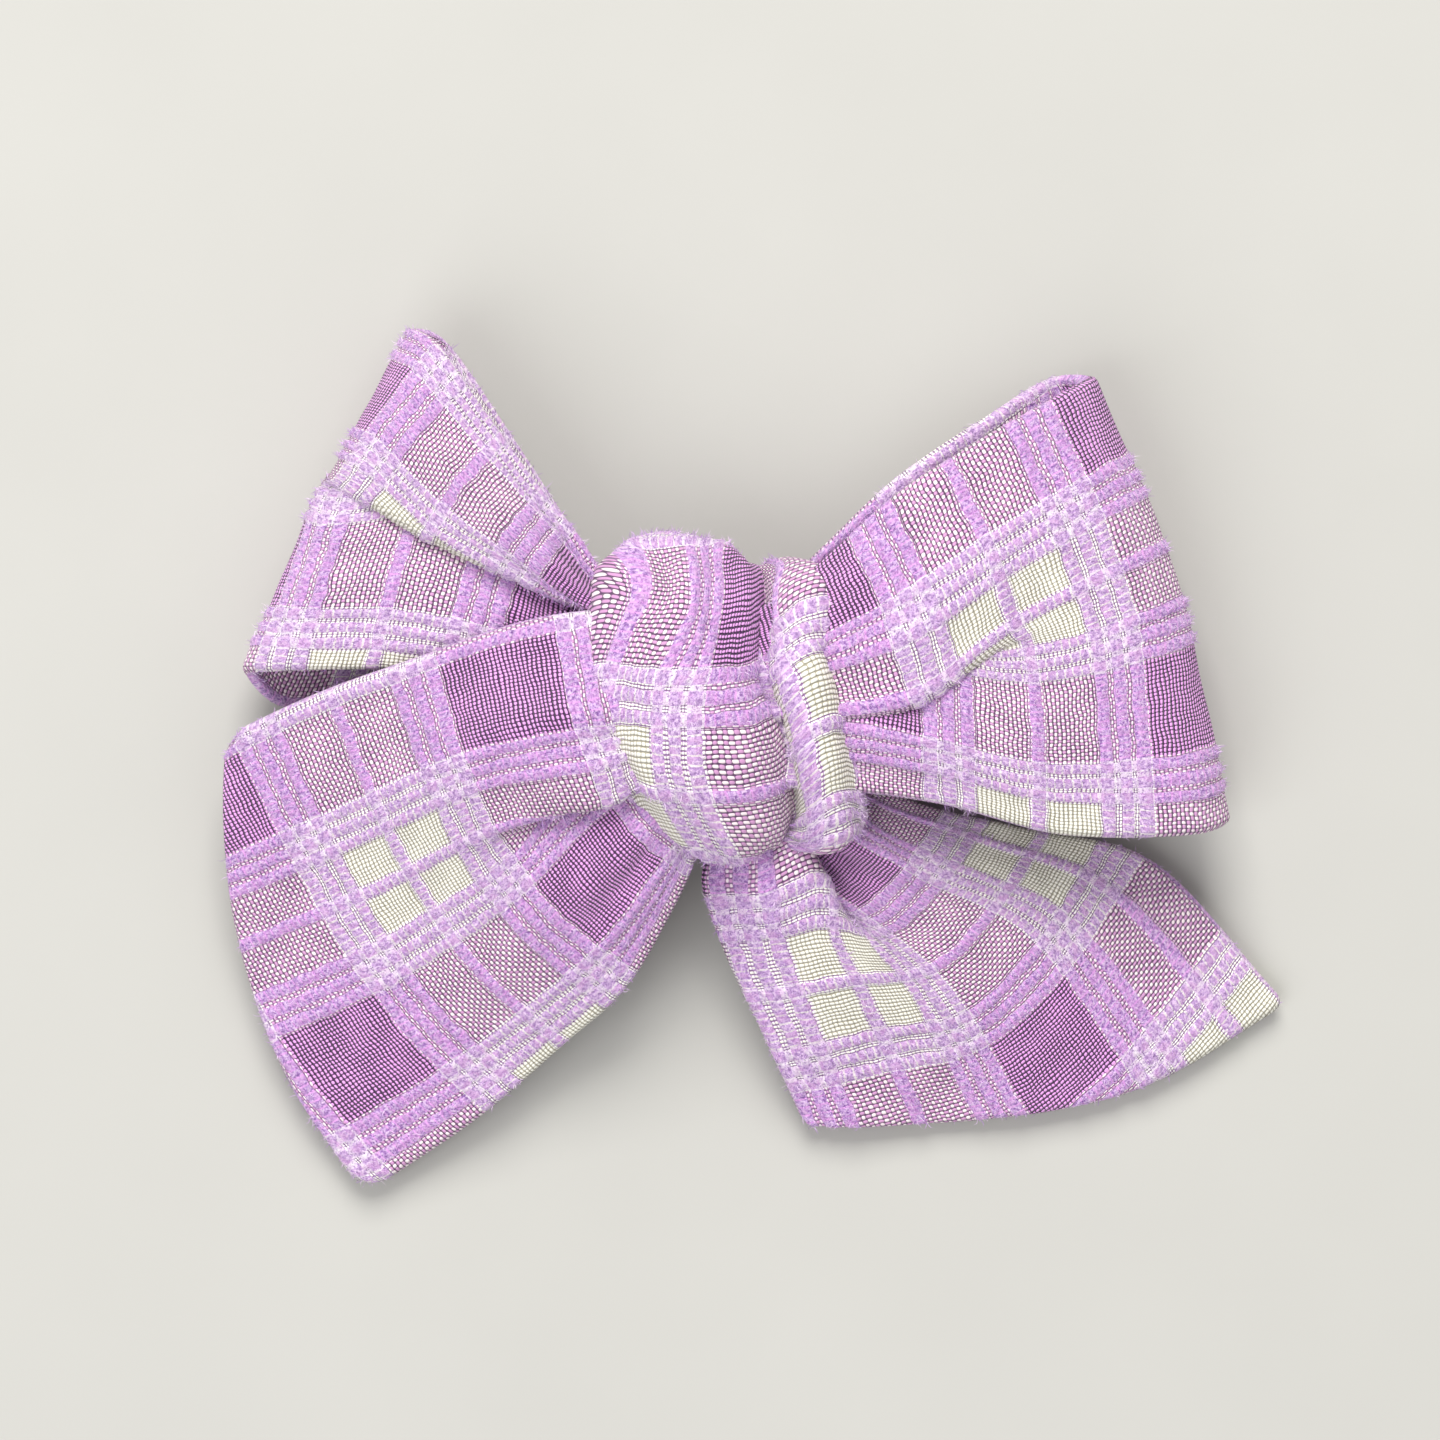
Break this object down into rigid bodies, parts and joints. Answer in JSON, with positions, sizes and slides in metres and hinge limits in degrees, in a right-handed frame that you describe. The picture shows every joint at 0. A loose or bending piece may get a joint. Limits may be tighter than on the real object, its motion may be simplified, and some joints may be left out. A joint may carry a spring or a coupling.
{
  "type": "hair bow",
  "caption": "Hand-tied plaid fabric hair bow with two loops, two slanted tails and a wrapped knot, on a ribbon-lined spring alligator clip.",
  "frame": {"origin": "on the clip's flat underside, straight below the middle of the knot", "axes": "+X across the bow towards the right-hand loop as seen from the front, +Y towards the tops of the loops, +Z out of the bow's face"},
  "size_m": [0.1078, 0.0884, 0.0205],
  "materials": {
    "plaid": "lilac, orchid and cream chenille plaid",
    "ribbon": "grosgrain",
    "thread": "twisted floss",
    "glue": "set hot glue, slightly cloudy",
    "clip_steel": "nickel plated, satin from handling",
    "spring_wire": "drawn spring wire"
  },
  "bodies": {
    "bow": {"upper_arm": "clip_steel", "hinge_pin": "clip_steel", "torsion_spring": "spring_wire", "ribbon_lining": "ribbon", "glue_pad": "glue", "tie_thread": "thread", "left_tail": "plaid", "right_tail": "plaid", "left_loop": "plaid", "right_loop": "plaid", "knot_wrap": "plaid"},
    "jaw": {"lower_arm": "clip_steel"}
  },
  "joints": [
    {"name": "jaw_hinge", "type": "hinge", "parent": "bow", "child": "jaw", "pos_m": [0.011, 0, 0.003], "axis": [0, -1, 0], "range_deg": [0, 22], "stiffness_Nm_per_rad": 0.05, "springref_deg": -57.3, "deforming": ["torsion_spring"]}
  ]
}
